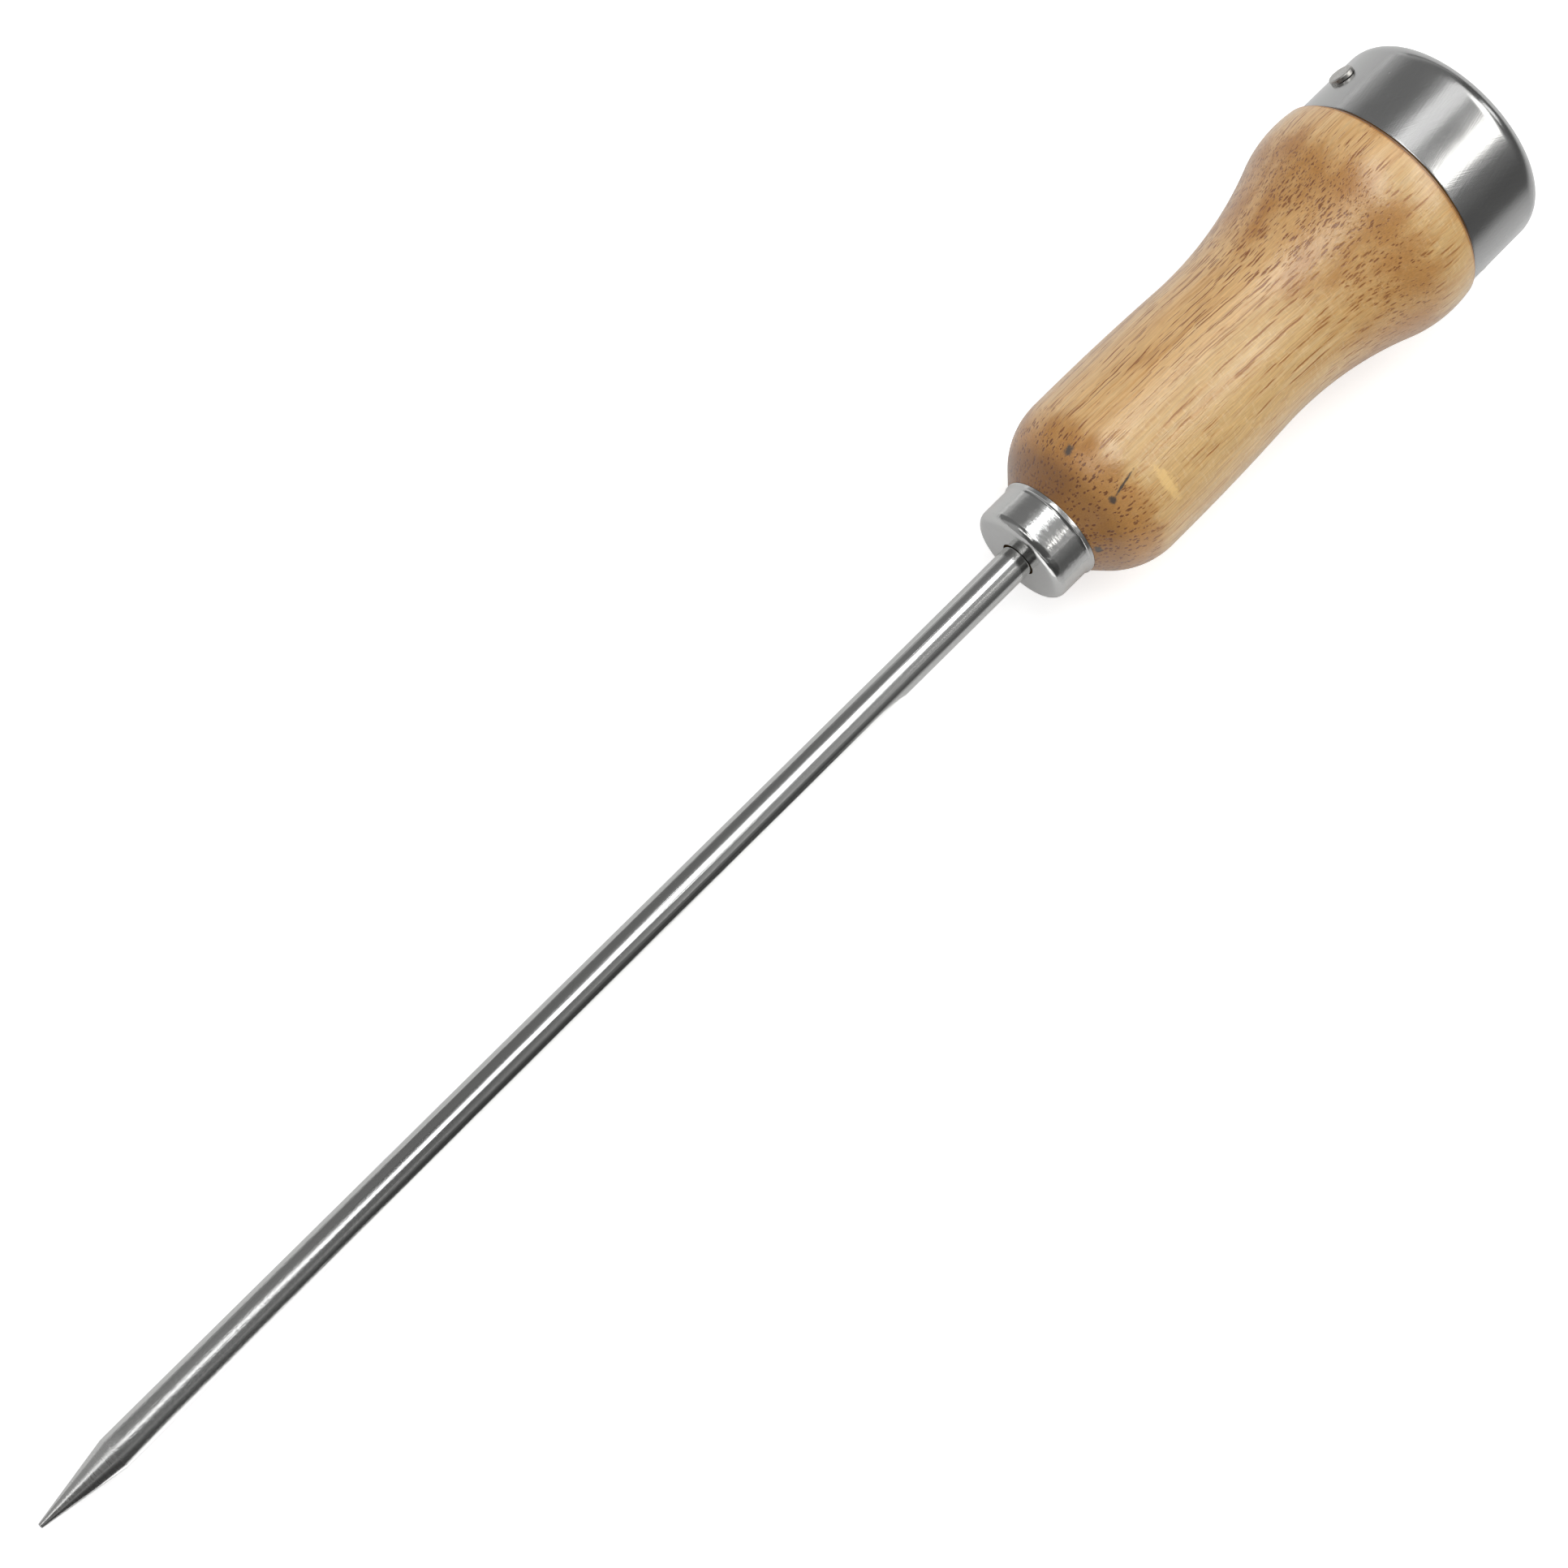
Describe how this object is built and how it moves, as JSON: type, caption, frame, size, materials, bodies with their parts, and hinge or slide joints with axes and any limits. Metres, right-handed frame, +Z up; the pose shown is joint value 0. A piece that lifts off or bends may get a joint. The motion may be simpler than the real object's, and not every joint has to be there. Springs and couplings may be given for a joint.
{
  "type": "ice pick",
  "caption": "Ice pick with a long pointed steel spike, a turned wooden handle, a drawn front ferrule and a nailed steel striking cap.",
  "frame": {"origin": "centre of the striking cap's flat face, on the pick's axis", "axes": "+X along the axis from the striking face to the point, +Z up as the pick lies on a table in the picture"},
  "size_m": [0.2222, 0.0294, 0.0294],
  "materials": {
    "spike_steel": "polished drawn rod with fine pits",
    "ferrule_plate": "bright plated drawn cup",
    "handle_wood": "satin clear lacquer over open-pored hardwood",
    "cap_steel": "satin with fine hairline scratches",
    "nail_steel": "plain drawn wire, slightly dulled"
  },
  "bodies": {
    "root": {"spike": "spike_steel", "front_ferrule": "ferrule_plate", "handle": "handle_wood", "striking_cap": "cap_steel", "cap_nails": "nail_steel"}
  },
  "joints": []
}
